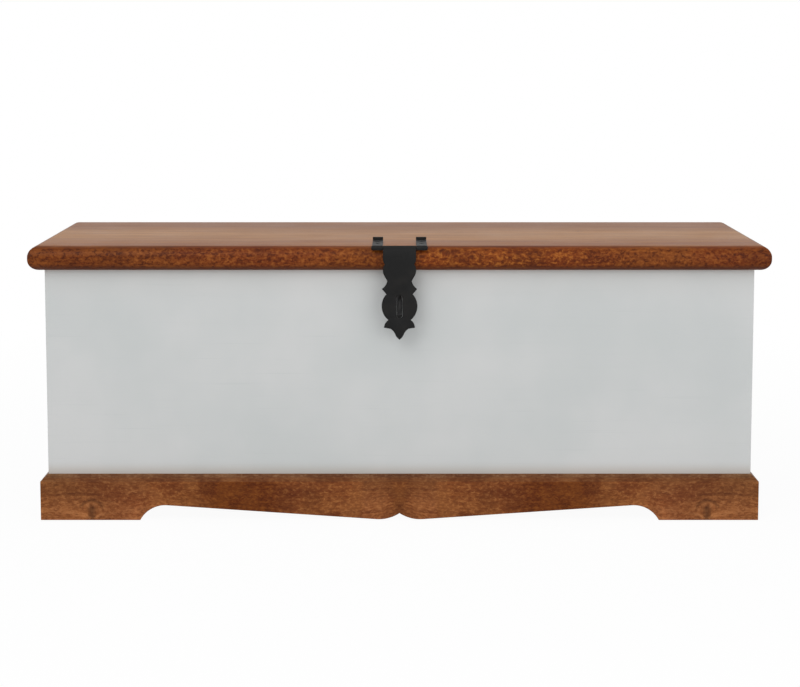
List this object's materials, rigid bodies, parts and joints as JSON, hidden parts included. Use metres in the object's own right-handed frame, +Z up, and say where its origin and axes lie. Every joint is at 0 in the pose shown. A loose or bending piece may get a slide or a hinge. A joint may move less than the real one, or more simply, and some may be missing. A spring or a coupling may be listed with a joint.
{
  "type": "storage trunk",
  "caption": "Boarded blanket chest with a round-nosed hinged lid, a scrolled plinth on bracket feet and a hanging wrought latch.",
  "frame": {"origin": "on the floor, under the middle of the whole trunk with its latch", "axes": "+X along the front to the right as the front is faced, +Y from the front to the back, +Z up"},
  "size_m": [1.2, 0.459, 0.46],
  "materials": {
    "stained_wood": "brown stain under satin varnish",
    "painted_wood": "off-white satin paint outside",
    "inner_wood": "bare planed wood",
    "black_iron": "black satin forged iron",
    "hinge_steel": "dull steel",
    "screw_steel": "dull steel"
  },
  "bodies": {
    "chest": {"front_panel": "painted_wood", "back_panel": "painted_wood", "left_panel": "painted_wood", "right_panel": "painted_wood", "bottom_panel": "inner_wood", "bottom_cleat_front": "inner_wood", "bottom_cleat_back": "inner_wood", "bottom_cleat_left": "inner_wood", "bottom_cleat_right": "inner_wood", "plinth_front": "stained_wood", "plinth_back": "stained_wood", "plinth_left": "stained_wood", "plinth_right": "stained_wood", "corner_block_front_left": "inner_wood", "corner_block_front_right": "inner_wood", "corner_block_back_left": "inner_wood", "corner_block_back_right": "inner_wood", "corner_dowels": "inner_wood", "cleat_screws": "screw_steel", "bottom_screws": "screw_steel", "hinge_body_leaf_left": "hinge_steel", "hinge_body_leaf_right": "hinge_steel", "hinge_pin_left": "hinge_steel", "hinge_pin_right": "hinge_steel", "body_leaf_screws": "screw_steel", "hasp_staple": "black_iron"},
    "lid": {"lid_board_front": "stained_wood", "lid_board_middle": "stained_wood", "lid_board_rear": "stained_wood", "lid_dowels": "inner_wood", "lid_batten_left": "inner_wood", "lid_batten_right": "inner_wood", "batten_screws": "screw_steel", "hinge_lid_leaf_left": "hinge_steel", "hinge_lid_leaf_right": "hinge_steel", "lid_leaf_screws": "screw_steel", "hasp_leaf_left": "black_iron", "hasp_leaf_right": "black_iron", "hasp_pin": "black_iron", "hasp_leaf_screws": "black_iron"},
    "hasp": {"hasp_strap": "black_iron"}
  },
  "joints": [
    {"name": "lid_hinge", "type": "hinge", "parent": "chest", "child": "lid", "pos_m": [0, 0.211, 0.412], "axis": [-1, 0, 0], "range_deg": [0, 109]},
    {"name": "hasp_hinge", "type": "hinge", "parent": "lid", "child": "hasp", "pos_m": [0, -0.2245, 0.45], "axis": [-1, 0, 0], "range_deg": [-11.5, 247]}
  ]
}
